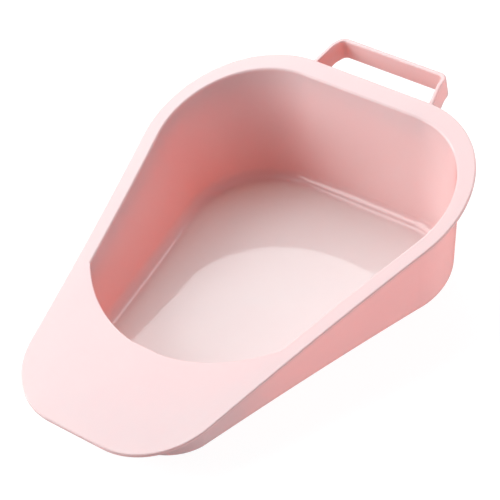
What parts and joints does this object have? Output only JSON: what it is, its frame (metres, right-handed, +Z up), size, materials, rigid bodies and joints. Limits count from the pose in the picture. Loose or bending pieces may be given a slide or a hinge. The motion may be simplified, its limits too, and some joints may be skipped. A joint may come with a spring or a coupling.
{
  "type": "bedpan",
  "caption": "Wedge-shaped slipper bedpan in pink moulded plastic, with a low front lip, a sloping rim, a deep rounded rear basin and a strap handle.",
  "frame": {"origin": "middle of the bounding box in plan, at the height of the surface that the pan stands on", "axes": "+Z up, +Y from the low front lip to the handle, which is the longest extent, +X to the right of someone who looks along +Y; the pan is the same on both sides of the plane X = 0"},
  "size_m": [0.27, 0.3644, 0.0984],
  "materials": {
    "pan": "pink polypropylene, slightly translucent, smooth and glossy"
  },
  "bodies": {
    "root": {"floor_panel": "pan", "wall_left": "pan", "wall_right": "pan", "wall_corner_left": "pan", "wall_corner_right": "pan", "wall_rear": "pan", "wall_shoulder_left": "pan", "wall_shoulder_right": "pan", "wall_front": "pan", "rim_left": "pan", "rim_right": "pan", "rim_corner_left": "pan", "rim_corner_right": "pan", "rim_rear": "pan", "lip_front": "pan", "handle_arm_left": "pan", "handle_arm_right": "pan", "handle_grip": "pan"}
  },
  "joints": []
}
